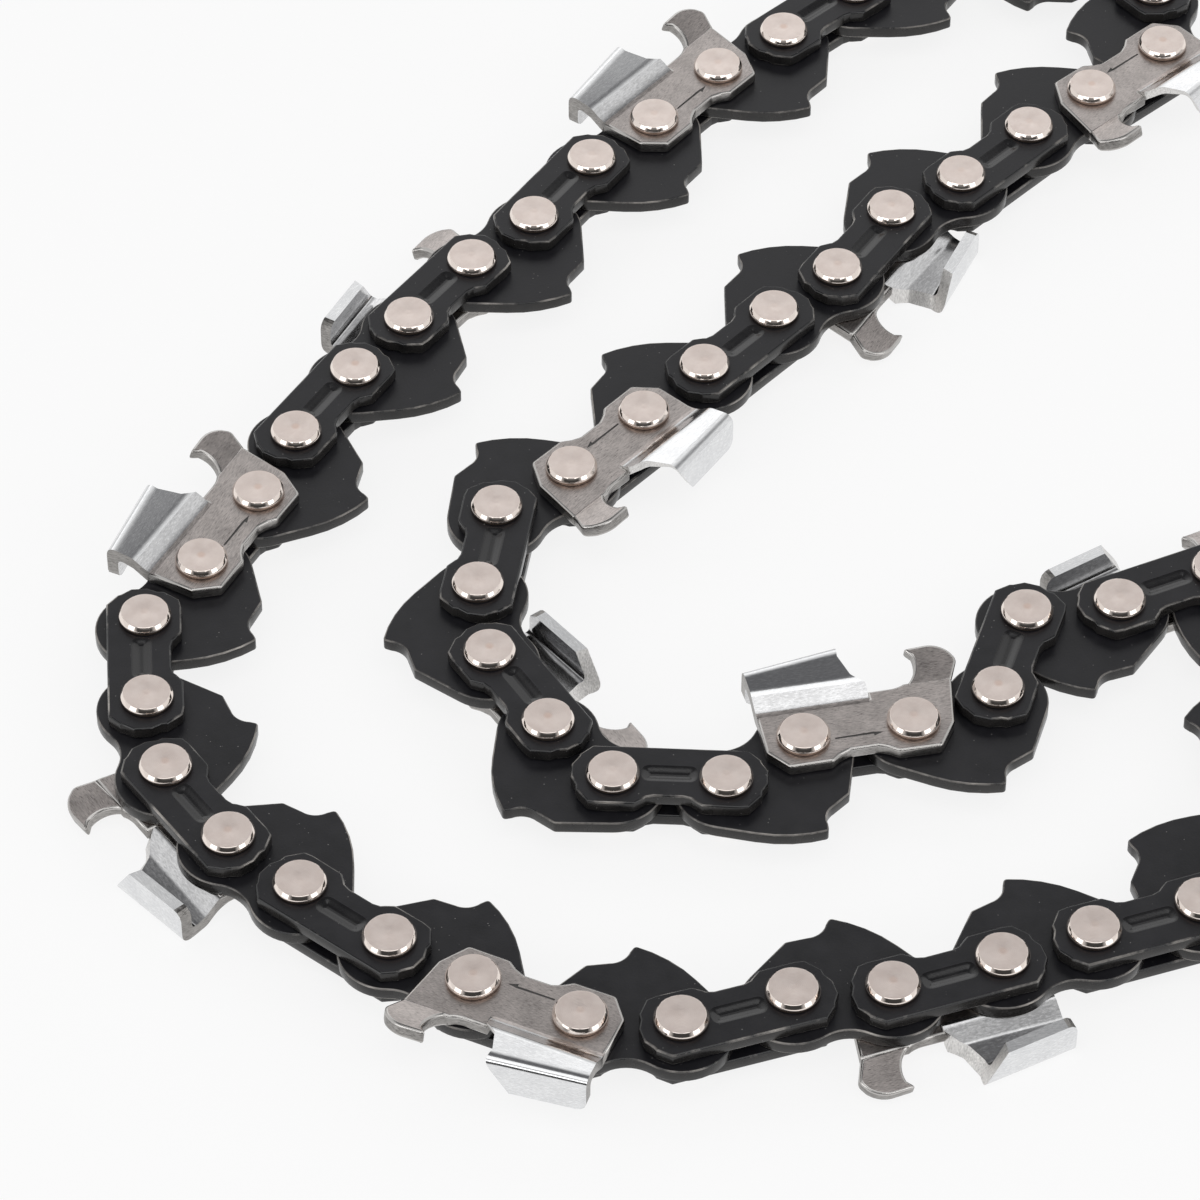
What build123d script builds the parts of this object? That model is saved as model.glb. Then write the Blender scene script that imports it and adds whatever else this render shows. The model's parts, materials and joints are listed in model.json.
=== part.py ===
"""Saw chain loop, lying on its side on a table, in millimetres.

Drive links and tie links alternate and turn on the rivets. A tie link is two plates clamped by two rivets:
two tie straps, or a cutter and a strap. The chain runs towards +X of each link, with the teeth on +Y
and the tangs on -Y, and the rivets stand along Z.
"""

import math
import os

from build123d import *

# Pitch, gauge and plates
TIE_PITCH = 10.0
DRIVE_PITCH = 8.55
GAUGE = 1.27
PLATE_THICKNESS = 1.25
SIDE_CLEARANCE = 0.05

# Rivet
HUB_RADIUS = 1.75
HUB_CLEARANCE = 0.05
HEAD_RADIUS = 2.4
HEAD_HEIGHT = 0.85

# Drive link
LOBE_RADIUS = 4.6
VALLEY_HEIGHT = 3.4
TANG_DEPTH = 9.2
TIP_FORWARD = 0.1
TIP_RUN = 0.4
TIP_RISE = 0.7
CORNER_DEPTH = 6.8
CORNER_FORWARD = 4.2
CORNER_FLAT_RUN = 2.0
CORNER_FLAT_DROP = 0.35
NOTCH_RADIUS = 1.9
REAR_SLOPE = 48.0
REAR_FLAT = 3.5

# Tie strap, from the rivet centres and the line through them
STRAP_REACH = 3.7
STRAP_TOP = 3.5
STRAP_BOTTOM = 3.3
TOP_CHAMFER_RUN = 1.8
TOP_CHAMFER_DROP = 2.2
BOTTOM_CHAMFER_RUN = 1.7
BOTTOM_CHAMFER_RISE = 2.1
WAIST_HEIGHT = 2.25
WAIST_HALF_LENGTH = 1.4
WAIST_RUN = 1.6
RECESS_LENGTH = 4.4
RECESS_WIDTH = 1.6
RECESS_OFFSET = 0.4
RECESS_DEPTH = 0.3

# Cutter plate and depth gauge
CUTTER_REAR_REACH = 3.6
CUTTER_FRONT_REACH = 3.6
FRONT_CORNER_DROP = 0.7
CUTTER_FRONT_LEAN = 0.9
FRONT_LEAN_TOP = 4.2
CREASE_HEIGHT = 3.4
GULLET_HEIGHT = 4.25
GULLET_RADIUS = 2.7
GAUGE_CREASE_HEIGHT = 4.6
GAUGE_BEND = 17.0
GAUGE_HEIGHT = 8.4
GAUGE_NOSE_REACH = 5.4
GAUGE_NOSE_HEIGHT = 6.6
GAUGE_HEEL_REACH = 1.5
GAUGE_TOP_LENGTH = 1.4
GAUGE_CROWN_RADIUS = 2.7

# Tooth, as folded from the cutter plate
TOOTH_FRONT = 1.7
TOOTH_HEIGHT = 9.2
TOOTH_FALL = 1.55
TOOTH_LEAN = 5.0
TOOTH_THICKNESS = 1.1
RAMP_RUN = 1.6
RAMP_RISE = 1.2
SIDE_FLARE = 1.75
SIDE_FLARE_REAR = 1.6
CORNER_CHAMFER = 0.6
TOP_PLATE_WIDTH = 3.75
FILE_RADIUS = 3.2
FILE_FORWARD = 3.45
FILE_HEIGHT = 7.6
FILE_ANGLE = 30.0

# Lay of the loop: heading of each tie link and of the drive link ahead of it, in degrees
LAY = (
    (199, 201), (199, 185), (198, 177), (156, 148), (142, 139), (126, 104), (94, 56),
    (61, 68), (58, 55), (54, 46), (56, 44), (50, 39), (43, 47), (17, -13),
    (-50, -88), (-138, -139), (-134, -144), (-123, -136), (-132, -132), (-132, -143), (-99, -82),
    (-58, -48), (-3, 36), (11, 26), (72, 9), (24, -37), (-96, -103), (-112, -120),
)
CLOSING_ROUNDS = 12

# What follows from the sizes
half_tie = TIE_PITCH / 2
half_drive = DRIVE_PITCH / 2
plate_inside = GAUGE / 2 + SIDE_CLEARANCE
plate_outside = plate_inside + PLATE_THICKNESS

# Drive link: outline corners
valley_radius = (half_drive**2 + VALLEY_HEIGHT**2 - LOBE_RADIUS**2) / (2 * (LOBE_RADIUS - VALLEY_HEIGHT))
valley_angle = math.degrees(math.atan2(VALLEY_HEIGHT + valley_radius, half_drive))
corner_run = CORNER_FORWARD - half_drive
corner_distance = math.hypot(corner_run, CORNER_DEPTH)
corner_angle = math.degrees(math.atan2(-CORNER_DEPTH, corner_run))
front_angle = corner_angle + math.degrees(math.acos(LOBE_RADIUS / corner_distance))
rear_angle = 270 - REAR_SLOPE
tip = (TIP_FORWARD, -TANG_DEPTH)
tip_top = (TIP_FORWARD + TIP_RUN, -TANG_DEPTH + TIP_RISE)
corner = (CORNER_FORWARD, -CORNER_DEPTH)
notch_end = (CORNER_FORWARD - CORNER_FLAT_RUN, -CORNER_DEPTH - CORNER_FLAT_DROP)

# Drive link: plate with two bores
with BuildPart() as drive_link:
    with BuildSketch(Plane.XY.offset(-GAUGE / 2)):
        with BuildLine():
            front_lobe = CenterArc((half_drive, 0), LOBE_RADIUS, front_angle, 180 - valley_angle - front_angle)
            rear_lobe = CenterArc((-half_drive, 0), LOBE_RADIUS, valley_angle, rear_angle - valley_angle)
            RadiusArc(front_lobe @ 1, rear_lobe @ 0, -valley_radius)
            rear_edge = PolarLine(rear_lobe @ 1, REAR_FLAT, direction=rear_lobe % 1)
            TangentArc(rear_edge @ 1, tip, tangent=rear_edge % 1)
            Line(tip, tip_top)
            RadiusArc(tip_top, notch_end, NOTCH_RADIUS)
            Line(notch_end, corner)
            Line(corner, front_lobe @ 0)
        make_face()
        with Locations((-half_drive, 0), (half_drive, 0)):
            Circle(HUB_RADIUS + HUB_CLEARANCE, mode=Mode.SUBTRACT)
    extrude(amount=GAUGE)

# Tie strap: plate with chamfered ends, a waist on the tang side and a long recess outside
strap_end = half_tie + STRAP_REACH
waist_end = WAIST_HALF_LENGTH + WAIST_RUN
with BuildPart() as tie_strap:
    with BuildSketch(Plane.XY.offset(plate_inside)):
        with BuildLine():
            Polyline(
                (0, STRAP_TOP),
                (strap_end - TOP_CHAMFER_RUN, STRAP_TOP),
                (strap_end, STRAP_TOP - TOP_CHAMFER_DROP),
                (strap_end, BOTTOM_CHAMFER_RISE - STRAP_BOTTOM),
                (strap_end - BOTTOM_CHAMFER_RUN, -STRAP_BOTTOM),
                (waist_end, -STRAP_BOTTOM),
                (WAIST_HALF_LENGTH, -WAIST_HEIGHT),
                (0, -WAIST_HEIGHT),
            )
            mirror(about=Plane.YZ)
        make_face()
    extrude(amount=PLATE_THICKNESS)
    with BuildSketch(Plane.XY.offset(plate_outside)):
        with Locations((0, RECESS_OFFSET)):
            Rectangle(RECESS_LENGTH, RECESS_WIDTH)
    extrude(amount=-RECESS_DEPTH, mode=Mode.SUBTRACT)

# Rivets: a hub between the plates and a flattened head outside each plate
with BuildPart() as rivet_pair:
    with Locations((-half_tie, 0, 0), (half_tie, 0, 0)):
        Cylinder(HUB_RADIUS, 2 * plate_inside)
    with BuildSketch(Plane.XY.offset(plate_outside)):
        with Locations((-half_tie, 0), (half_tie, 0)):
            Circle(HEAD_RADIUS)
    extrude(amount=HEAD_HEIGHT)
    mirror(about=Plane.XY)

# Cutter: base plate up to the creases of the tooth and the depth gauge, with the gullet between them
cutter_rear = half_tie + CUTTER_REAR_REACH
cutter_front = half_tie + CUTTER_FRONT_REACH
gauge_heel = half_tie + GAUGE_HEEL_REACH
gauge_front = cutter_front + CUTTER_FRONT_LEAN
gullet_top = GULLET_HEIGHT + GULLET_RADIUS
gullet_rear = (gauge_heel - GULLET_RADIUS, GULLET_HEIGHT)
crease_run = math.sqrt(GULLET_RADIUS**2 - (gullet_top - GAUGE_CREASE_HEIGHT) ** 2)
crease_rear = (gauge_heel - GULLET_RADIUS + crease_run, GAUGE_CREASE_HEIGHT)
with BuildPart() as cutter:
    with BuildSketch(Plane.XY.offset(plate_inside)):
        with BuildLine():
            Polyline(
                gullet_rear,
                (TOOTH_FRONT, GULLET_HEIGHT),
                (TOOTH_FRONT, CREASE_HEIGHT),
                (-cutter_rear, CREASE_HEIGHT),
                (-cutter_rear, BOTTOM_CHAMFER_RISE - STRAP_BOTTOM),
                (BOTTOM_CHAMFER_RUN - cutter_rear, -STRAP_BOTTOM),
                (-waist_end, -STRAP_BOTTOM),
                (-WAIST_HALF_LENGTH, -WAIST_HEIGHT),
                (WAIST_HALF_LENGTH, -WAIST_HEIGHT),
                (waist_end, -STRAP_BOTTOM),
                (cutter_front - BOTTOM_CHAMFER_RUN, -STRAP_BOTTOM),
                (cutter_front, -FRONT_CORNER_DROP),
                (gauge_front, FRONT_LEAN_TOP),
                (gauge_front, GAUGE_CREASE_HEIGHT),
                crease_rear,
            )
            RadiusArc(crease_rear, gullet_rear, GULLET_RADIUS)
        make_face()
    extrude(amount=PLATE_THICKNESS)

# Depth gauge: the plate goes on above its crease, bent outwards
bend = math.radians(GAUGE_BEND)
gauge_plane = Plane(
    origin=(0, GAUGE_CREASE_HEIGHT, plate_inside),
    x_dir=(1, 0, 0),
    z_dir=(0, -math.sin(bend), math.cos(bend)),
)
gauge_rise = GAUGE_HEIGHT - GAUGE_CREASE_HEIGHT
gauge_nose = (half_tie + GAUGE_NOSE_REACH, GAUGE_NOSE_HEIGHT - GAUGE_CREASE_HEIGHT)
gauge_top = (gauge_heel + GAUGE_TOP_LENGTH, gauge_rise)
gullet_front = (gauge_heel, gullet_top - GAUGE_CREASE_HEIGHT)
gauge_foot = (crease_rear[0], 0)
with BuildPart() as depth_gauge:
    with BuildSketch(gauge_plane):
        with BuildLine():
            Polyline(gauge_foot, (gauge_front, 0), gauge_nose)
            RadiusArc(gauge_nose, gauge_top, -GAUGE_CROWN_RADIUS)
            Polyline(gauge_top, (gauge_heel, gauge_rise), gullet_front)
            RadiusArc(gullet_front, gauge_foot, GULLET_RADIUS)
        make_face()
    extrude(amount=PLATE_THICKNESS)

# Tooth: side plate stepped and flared outwards, and top plate folded across the chain, lower towards the rear
lean = math.radians(TOOTH_LEAN)
front_section = Plane(origin=(TOOTH_FRONT, CREASE_HEIGHT, 0), x_dir=(0, 1, 0), z_dir=(1, 0, 0))
rear_section = Plane(
    origin=(-cutter_rear, CREASE_HEIGHT, 0),
    x_dir=(-math.sin(lean), math.cos(lean), 0),
    z_dir=(math.cos(lean), math.sin(lean), 0),
)
flare_front = plate_outside + SIDE_FLARE
flare_rear = plate_outside + SIDE_FLARE_REAR
tooth_rise = TOOTH_HEIGHT - CREASE_HEIGHT
with BuildPart() as tooth:
    for section, rise, flare in (
        (front_section, tooth_rise, flare_front),
        (rear_section, tooth_rise - TOOTH_FALL, flare_rear),
    ):
        with BuildSketch(section):
            with BuildLine():
                Polyline(
                    (0, plate_outside),
                    (RAMP_RUN, plate_outside + RAMP_RISE),
                    (rise - CORNER_CHAMFER, flare),
                    (rise, flare - CORNER_CHAMFER),
                    (rise, flare - TOP_PLATE_WIDTH),
                    (rise - TOOTH_THICKNESS, flare - TOP_PLATE_WIDTH),
                    (rise - TOOTH_THICKNESS, flare - TOOTH_THICKNESS),
                    (RAMP_RUN, plate_inside + RAMP_RISE),
                    (0, plate_inside),
                    close=True,
                )
            make_face()
    loft(ruled=True)
    with Locations(Location((FILE_FORWARD, FILE_HEIGHT, flare_front), (0, FILE_ANGLE, 0))):
        Cylinder(FILE_RADIUS, 4 * TOP_PLATE_WIDTH, mode=Mode.SUBTRACT)

# Tie links: plates and rivets clamped for good, so each is one solid
with BuildPart() as tie_link:
    add(tie_strap.part)
    mirror(tie_strap.part, about=Plane.XY)
    add(rivet_pair.part)

with BuildPart() as right_cutter_link:
    add(cutter.part)
    add(depth_gauge.part)
    add(tooth.part)
    mirror(tie_strap.part, about=Plane.XY)
    add(rivet_pair.part)

with BuildPart() as left_cutter_link:
    mirror(right_cutter_link.part, about=Plane.XY)


def close_loop(headings, lengths):
    """Turn every link a little until the last rivet meets the first."""
    for _ in range(CLOSING_ROUNDS):
        runs = [length * math.cos(heading) for heading, length in zip(headings, lengths)]
        rises = [length * math.sin(heading) for heading, length in zip(headings, lengths)]
        gap_x = sum(runs)
        gap_y = sum(rises)
        xx = sum(rise * rise for rise in rises)
        yy = sum(run * run for run in runs)
        xy = -sum(run * rise for run, rise in zip(runs, rises))
        scale = xx * yy - xy * xy
        pull_x = (yy * gap_x - xy * gap_y) / scale
        pull_y = (xx * gap_y - xy * gap_x) / scale
        headings = [
            heading + rise * pull_x - run * pull_y
            for heading, run, rise in zip(headings, runs, rises)
        ]
    return headings


# Rivet centres round the loop, from the headings and the two pitches
link_lengths = [TIE_PITCH, DRIVE_PITCH] * len(LAY)
link_headings = close_loop([math.radians(angle) for pair in LAY for angle in pair], link_lengths)
middles = []
rivet_x = 0.0
rivet_y = 0.0
for heading, length in zip(link_headings, link_lengths):
    run = length * math.cos(heading)
    rise = length * math.sin(heading)
    middles.append((rivet_x + run / 2, rivet_y + rise / 2))
    rivet_x += run
    rivet_y += rise

# Links in chain order: cutters alternate with plain tie links, and left with right
tie_kinds = (
    ("tie_link", tie_link),
    ("left_cutter_link", left_cutter_link),
    ("tie_link", tie_link),
    ("right_cutter_link", right_cutter_link),
)
counts = {"tie_link": 0, "left_cutter_link": 0, "right_cutter_link": 0, "drive_link": 0}
links = []
for index, (middle, heading) in enumerate(zip(middles, link_headings)):
    kind, template = ("drive_link", drive_link) if index % 2 else tie_kinds[index // 2 % 4]
    counts[kind] += 1
    place = Location((middle[0], middle[1], 0), (0, 0, math.degrees(heading)))
    link = template.part.moved(place)
    link.label = f"{kind}_{counts[kind]:02d}"
    links.append(link)

# Origin at the middle of the loop's footprint, on the table that the lower teeth touch
boxes = [link.bounding_box() for link in links]
centre_x = (min(box.min.X for box in boxes) + max(box.max.X for box in boxes)) / 2
centre_y = (min(box.min.Y for box in boxes) + max(box.max.Y for box in boxes)) / 2
table = min(box.min.Z for box in boxes)

os.makedirs("parts", exist_ok=True)
for link in links:
    placed = link.moved(Location((-centre_x, -centre_y, -table)))
    placed.label = link.label
    export_step(placed, f"parts/{link.label}.step")
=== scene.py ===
import json
import math

import bmesh
import bpy
from mathutils import Matrix, Vector

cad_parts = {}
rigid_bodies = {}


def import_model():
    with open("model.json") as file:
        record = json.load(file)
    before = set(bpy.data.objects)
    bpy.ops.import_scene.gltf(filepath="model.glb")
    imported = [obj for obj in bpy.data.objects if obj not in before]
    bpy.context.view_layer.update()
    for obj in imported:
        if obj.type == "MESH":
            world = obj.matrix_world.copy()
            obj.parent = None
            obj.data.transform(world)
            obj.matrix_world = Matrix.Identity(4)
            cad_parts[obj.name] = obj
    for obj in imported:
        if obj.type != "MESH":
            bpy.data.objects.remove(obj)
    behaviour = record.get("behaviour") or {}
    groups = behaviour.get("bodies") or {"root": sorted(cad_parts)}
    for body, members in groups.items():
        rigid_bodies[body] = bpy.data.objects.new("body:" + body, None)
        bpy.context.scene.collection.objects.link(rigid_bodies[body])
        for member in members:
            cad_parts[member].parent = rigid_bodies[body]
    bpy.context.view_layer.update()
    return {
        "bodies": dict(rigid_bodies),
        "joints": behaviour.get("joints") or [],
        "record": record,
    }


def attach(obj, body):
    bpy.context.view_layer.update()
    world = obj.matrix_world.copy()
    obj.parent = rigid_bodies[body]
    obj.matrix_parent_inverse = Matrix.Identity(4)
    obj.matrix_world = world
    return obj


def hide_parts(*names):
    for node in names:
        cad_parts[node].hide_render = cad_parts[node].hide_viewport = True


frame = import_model()

# The links' sizes are in millimetres from the middle of a link, with x along the chain, y towards
# the teeth and z across the chain. A corner is (x, y, radius).
MM = 0.001

# Material slots of the link meshes
BLACK, BLACK_WALL, GLOSS, ROLLED_RUB_AND_GLINT, WORN, RIVET_FACE, RIVET_RIM, RIVET_WALL = range(8)
STEEL, SHADED_STEEL_WALL, EDGE, RAMP, CHROME, FILED, ENGRAVED = range(8, 15)

# How finely curves are divided, with the arcs' step in degrees
ARC_STEP = 7.0
CORNER_STEPS = 4
GROOVE_STEPS = 6
TOOTH_STEPS = 6
ROLL_STEPS = 3
HUB_SEGMENTS = 40
HEAD_SEGMENTS = 48
TOOTH_STATIONS = 8
FILING_ROUNDS = 8

# The most that a rounded corner takes of the lines that meet there, the distance below which two points
# are one, and the limit that keeps an inset point near a sharp corner
CORNER_SHARE = 0.45
SAME_POINT = 0.01
MITRE_LIMIT = 0.5

# Pitches and plates
TIE_PITCH = 10.0
DRIVE_PITCH = 8.55
DRIVE_THICKNESS = 1.27
PLATE_INSIDE = 0.685
PLATE_OUTSIDE = 1.935
STRAP_ROLL = 0.17
CUTTER_ROLL = 0.24
DRIVE_ROLL = 0.13

# Pressed pockets fall along a soft step: shares of the slope's run and of the depth
POCKET_STEP = ((0.0, 0.0), (0.15, 0.06), (0.32, 0.25), (0.5, 0.5), (0.68, 0.75), (0.85, 0.94), (1.0, 1.0))

# Rivets. The rings of a head go from its foot to its centre mark: radius, height, the slot of the band
# that ends there, and whether the ring is a hard line
HUB_RADIUS = 1.75
HEAD_RADIUS = 2.4
HEAD_FACE_RADIUS = 2.14
HEAD_HEIGHT = 0.85
HEAD_CHAMFER = 0.5
HEAD_TOP = PLATE_OUTSIDE + HEAD_HEIGHT
HEAD_RINGS = (
    (HEAD_RADIUS - 0.08, PLATE_OUTSIDE - 0.1, BLACK_WALL, False),
    (HEAD_RADIUS - 0.08, PLATE_OUTSIDE + 0.04, BLACK_WALL, True),
    (HEAD_RADIUS - 0.02, PLATE_OUTSIDE + 0.08, RIVET_WALL, False),
    (HEAD_RADIUS, PLATE_OUTSIDE + 0.14, RIVET_WALL, False),
    (HEAD_RADIUS, HEAD_TOP - HEAD_CHAMFER, RIVET_WALL, False),
    (HEAD_RADIUS - 0.02, HEAD_TOP - HEAD_CHAMFER * 0.82, RIVET_RIM, False),
    (HEAD_RADIUS - 0.07, HEAD_TOP - HEAD_CHAMFER * 0.6, RIVET_RIM, False),
    (HEAD_FACE_RADIUS, HEAD_TOP - 0.03, RIVET_RIM, True),
    (HEAD_FACE_RADIUS - 0.04, HEAD_TOP, RIVET_RIM, True),
    (0.46, HEAD_TOP, RIVET_FACE, False),
    (0.34, HEAD_TOP - 0.008, RIVET_FACE, False),
    (0.14, HEAD_TOP - 0.003, RIVET_FACE, False),
)

# Drive links, with the rear slope in degrees
LOBE_RADIUS = 4.6
VALLEY_HEIGHT = 3.4
BORE_RADIUS = 1.8
TANG_TIP = (0.1, -9.2)
TANG_TIP_TOP = (0.5, -8.5)
TIP_ROUND = 0.4
NOTCH_END = (2.2, -7.15)
NOTCH_RADIUS = 1.9
TANG_CORNER = (4.2, -6.8)
TANG_CORNER_ROUND = 0.5
REAR_SLOPE = 48.0
REAR_FLAT = 3.5

# Straps: corners of the end, with x from the rivet, and of the neck that rises to the waist
STRAP_TOP = 3.5
STRAP_BOTTOM = -3.3
STRAP_REACH = 3.7
NECK_START = (3.0, STRAP_BOTTOM + 0.05)
NECK_MIDDLE = (2.2, -2.65)
WAIST = (1.3, -2.25)
STRAP_END = [
    (1.9, STRAP_TOP, 0.25),
    (3.0, 2.45, 0.12),
    (3.12, 2.1, 0.1),
    (STRAP_REACH, 1.2, 0.2),
    (STRAP_REACH, -0.25, 0.2),
    (3.25, -1.15, 0.12),
    (3.2, -1.75, 0.12),
    (2.1, -3.15, 0.25),
    (1.2, STRAP_BOTTOM, 0.3),
]
STRAP_NECK = [(*NECK_START, 0.5), (*NECK_MIDDLE, 0.15), (2.0, -2.45, 0.1), (*WAIST, 0.4)]

# Groove of the straps
GROOVE_LENGTH = 5.0
GROOVE_WIDTH = 1.9
GROOVE_OFFSET = 0.4
GROOVE_ROUND = 0.85
GROOVE_DEPTH = 0.25
GROOVE_SLOPE = 0.85

# Tooth of a cutter: place, rise above the crease and flare to the side
CREASE = 3.4
TOOTH_FRONT = 1.7
TOOTH_REAR = -8.6
TOOTH_RISE = 5.8
TOOTH_FALL = 1.55
TOOTH_LEAN = math.radians(5)
TOOTH_THICKNESS = 1.1
TOP_PLATE_WIDTH = 3.75
SIDE_FLARE = 1.75
SIDE_FLARE_REAR = 1.6
RAMP_RUN = 1.6
RAMP_RISE = 1.2

# Bends of the tooth's outer and inner side, and how far its root runs down inside the base plate
CREASE_BEND = 2.7
RAMP_BEND = 1.6
CORNER_BEND = 1.2
CORNER_LIFT = 0.15
ROOT_DEPTH = 2.4
ROOT_SINK = 0.15
INNER_CREASE_BEND = 1.0
INNER_RAMP_BEND = 1.0
INNER_CORNER_BEND = 0.7
INNER_ROOT_DEPTH = 1.2
INNER_ROOT_LIFT = 0.1

# Rounded rear corner of the top plate, and where points lie across it
REAR_ROUND = 0.9
REAR_SHARES = (1.0, 0.45, 0.1, 0.0)

# A flat longer than this gets two held points, at this distance from its ends
FLAT_LENGTH = 0.6
FLAT_BORDER = 0.08
HELD_POINTS = 2

# Where the ramp and the side plate start among the points of the tooth's section: in the middle of the
# bend at the crease, which follows the root and its flat, and after the flat of the ramp
ROOT_POINTS = 1 + HELD_POINTS
RAMP_START = ROOT_POINTS + TOOTH_STEPS // 2
SIDE_START = ROOT_POINTS + TOOTH_STEPS + 1 + HELD_POINTS

# Round file that hollows the front of the tooth
FILE_RADIUS = 3.2
FILE_FORWARD = 3.45
FILE_HEIGHT = 7.6
FILE_ANGLE = math.radians(30)

# Base plate of a cutter
CUTTER_TOE = TIE_PITCH / 2 + 3.6
CUTTER_FRONT = 9.5
CUTTER_HEEL_CORNERS = [(TOOTH_REAR, -1.2, 0.5), (TOOTH_REAR + 1.7, STRAP_BOTTOM, 0.6)]
CUTTER_NECK = [(*NECK_START, 0.6), (*NECK_MIDDLE, 1.2), (*WAIST, 0.8)]
CUTTER_TOE_CORNERS = [
    (CUTTER_TOE - 1.7, STRAP_BOTTOM, 0.6),
    (CUTTER_TOE, -0.7, 0.8),
    (CUTTER_FRONT, 4.2, 0.3),
]

# Gullet and depth gauge of a cutter
GULLET_HEIGHT = 4.25
GULLET_RADIUS = 2.7
GAUGE_CREASE = 4.6
GAUGE_BEND = math.radians(17)
GAUGE_HEEL = 6.5
GAUGE_HEIGHT = 8.4
GAUGE_TOP = 7.9
GAUGE_NOSE = (10.4, 6.6)
GAUGE_NOSE_ROUND = 0.8
GAUGE_CROWN_RADIUS = 2.7
GAUGE_BEAK = (5.75, 8.3)
GAUGE_BEAK_ROUND = 0.4
GAUGE_BACK_TOP = GAUGE_HEIGHT - 0.85
# The rounded nose stands for the crown's first points
NOSE_POINTS = 3

# Engraved arrow of a cutter
ARROW_TAIL = -2.3
ARROW_TIP = 2.1
ARROW_HEIGHT = -0.75
ARROW_HEAD = 0.9
ARROW_BARB = 0.34
ARROW_LINE = 0.09
ARROW_UPPER_BARB = ARROW_LINE * 1.6
ARROW_DEPTH = 0.06
ARROW_SLOPE = 0.02

# Colours that the materials mix in, and how much paler the raised brush marks are
DUST = (0.4, 0.39, 0.38, 1)
EDGE_BLACK = (0.011, 0.011, 0.0125, 1)
RUBBED_STEEL_AND_GLINT = (0.4, 0.375, 0.35, 1)
NICKEL_DARK = (0.83, 0.72, 0.665, 1)
NICKEL_LIGHT = (0.9, 0.795, 0.74, 1)
COPPER = (0.72, 0.46, 0.34, 1)
DIRT = (0.05, 0.045, 0.04, 1)
PALE_GAIN = 1.15

# Turning rings and radii of the tinted centre of a rivet's face
TURNING_PITCH = 0.16
TINT_EDGE = 0.5
TINT_CORE = 0.2

# Photograph's view in millimetres: its centre from the first rivet, the eye's distance and elevation, and
# the lens. The clipping distance is in metres
AIM_FROM_RIVET = (-51.84, 35.34)
EYE_DISTANCE = 523.4
EYE_ELEVATION = math.radians(46)
LENS = 173.96
SENSOR = 36.0
CLIP_START = 0.01

# Floor, in metres. In sight it is plain white, except for the share of it that takes light and shadow
FLOOR_SIZE = 3.0
FLOOR_COLOUR = (0.93, 0.93, 0.93, 1)
FLOOR_ROUGHNESS = 0.9
SHADOW_SHARE = 0.16

# Lamps, in metres, degrees and watts. Azimuth 0 is behind the chain and 90 to its right
LAMP_DISTANCE = 0.9
LAMPS = (
    dict(name="top_box", azimuth=180, elevation=72, width=0.8, height=0.6, power=1.3),
    dict(name="left_strip", azimuth=-148, elevation=30, width=0.5, height=0.18, power=0.58),
    dict(name="right_strip", azimuth=149, elevation=30, width=0.5, height=0.18, power=0.54),
    dict(name="front_left_box", azimuth=-125, elevation=16, width=0.4, height=0.5, power=0.7),
    dict(name="front_right_box", azimuth=125, elevation=16, width=0.4, height=0.5, power=0.65),
    dict(name="back_box", azimuth=-12, elevation=20, width=0.6, height=0.4, power=0.3),
)

# The room's walls: the heights between which each goes from one grey to another, and where one wall
# goes over to the next
BACK_FOOT_SPAN = (0.25, 0.55)
BACK_FOOT = (0.7, 0.7, 0.7, 1)
BACK_WALL = (1.0, 1.0, 1.0, 1)
BACK_TOP_SPAN = (0.68, 0.82)
BACK_TOP = (0.14, 0.14, 0.145, 1)
FRONT_SPAN = (0.3, 0.55)
FRONT_FOOT = (0.05, 0.05, 0.05, 1)
FRONT_TOP = (0.5, 0.5, 0.5, 1)
SIDE_SPAN = (0.65, 0.85)
SIDE_WALL = (0.85, 0.85, 0.85, 1)
SIDE_TOP = (0.4, 0.4, 0.4, 1)
FRONT_TO_BACK = (-0.2, 0.25)
MIDDLE_TO_SIDE = (0.45, 0.75)


def arc(centre, radius, start, end):
    """Points on a circle from one angle to another, in degrees."""
    count = max(2, round(abs(end - start) / ARC_STEP))
    angles = [math.radians(start + (end - start) * i / count) for i in range(count + 1)]
    return [(centre[0] + radius * math.cos(a), centre[1] + radius * math.sin(a)) for a in angles]


def bow(start, end, radius):
    """Points on an arc between two points, anticlockwise if the radius is positive."""
    middle = ((start[0] + end[0]) / 2, (start[1] + end[1]) / 2)
    run = (end[0] - start[0], end[1] - start[1])
    chord = math.hypot(*run)
    rise = math.copysign(math.sqrt(radius * radius - chord * chord / 4), radius) / chord
    centre = (middle[0] - run[1] * rise, middle[1] + run[0] * rise)
    first = math.degrees(math.atan2(start[1] - centre[1], start[0] - centre[0]))
    last = math.degrees(math.atan2(end[1] - centre[1], end[0] - centre[0]))
    turn = (last - first) % 360 if radius > 0 else -((first - last) % 360)
    return arc(centre, abs(radius), first, first + turn)


def rounded(corners, steps=CORNER_STEPS):
    """An open or closed run of corners with each corner that has a radius turned into a curve."""
    points = []
    for index, (x, y, radius) in enumerate(corners):
        if radius == 0:
            points.append((x, y))
            continue
        here = Vector((x, y))
        to_last = Vector(corners[index - 1][:2]) - here
        to_next = Vector(corners[(index + 1) % len(corners)][:2]) - here
        back = to_last.normalized()
        ahead = to_next.normalized()
        half = back.angle(ahead) / 2
        reach = min(radius / math.tan(half), CORNER_SHARE * to_last.length, CORNER_SHARE * to_next.length)
        for i in range(steps + 1):
            t = i / steps
            near = here + back * reach * (1 - t) ** 2 + ahead * reach * t**2
            points.append(tuple(near))
    return points


def clean(points):
    """The outline without points that lie on each other."""
    return [p for i, p in enumerate(points) if math.dist(p, points[i - 1]) > SAME_POINT]


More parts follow.
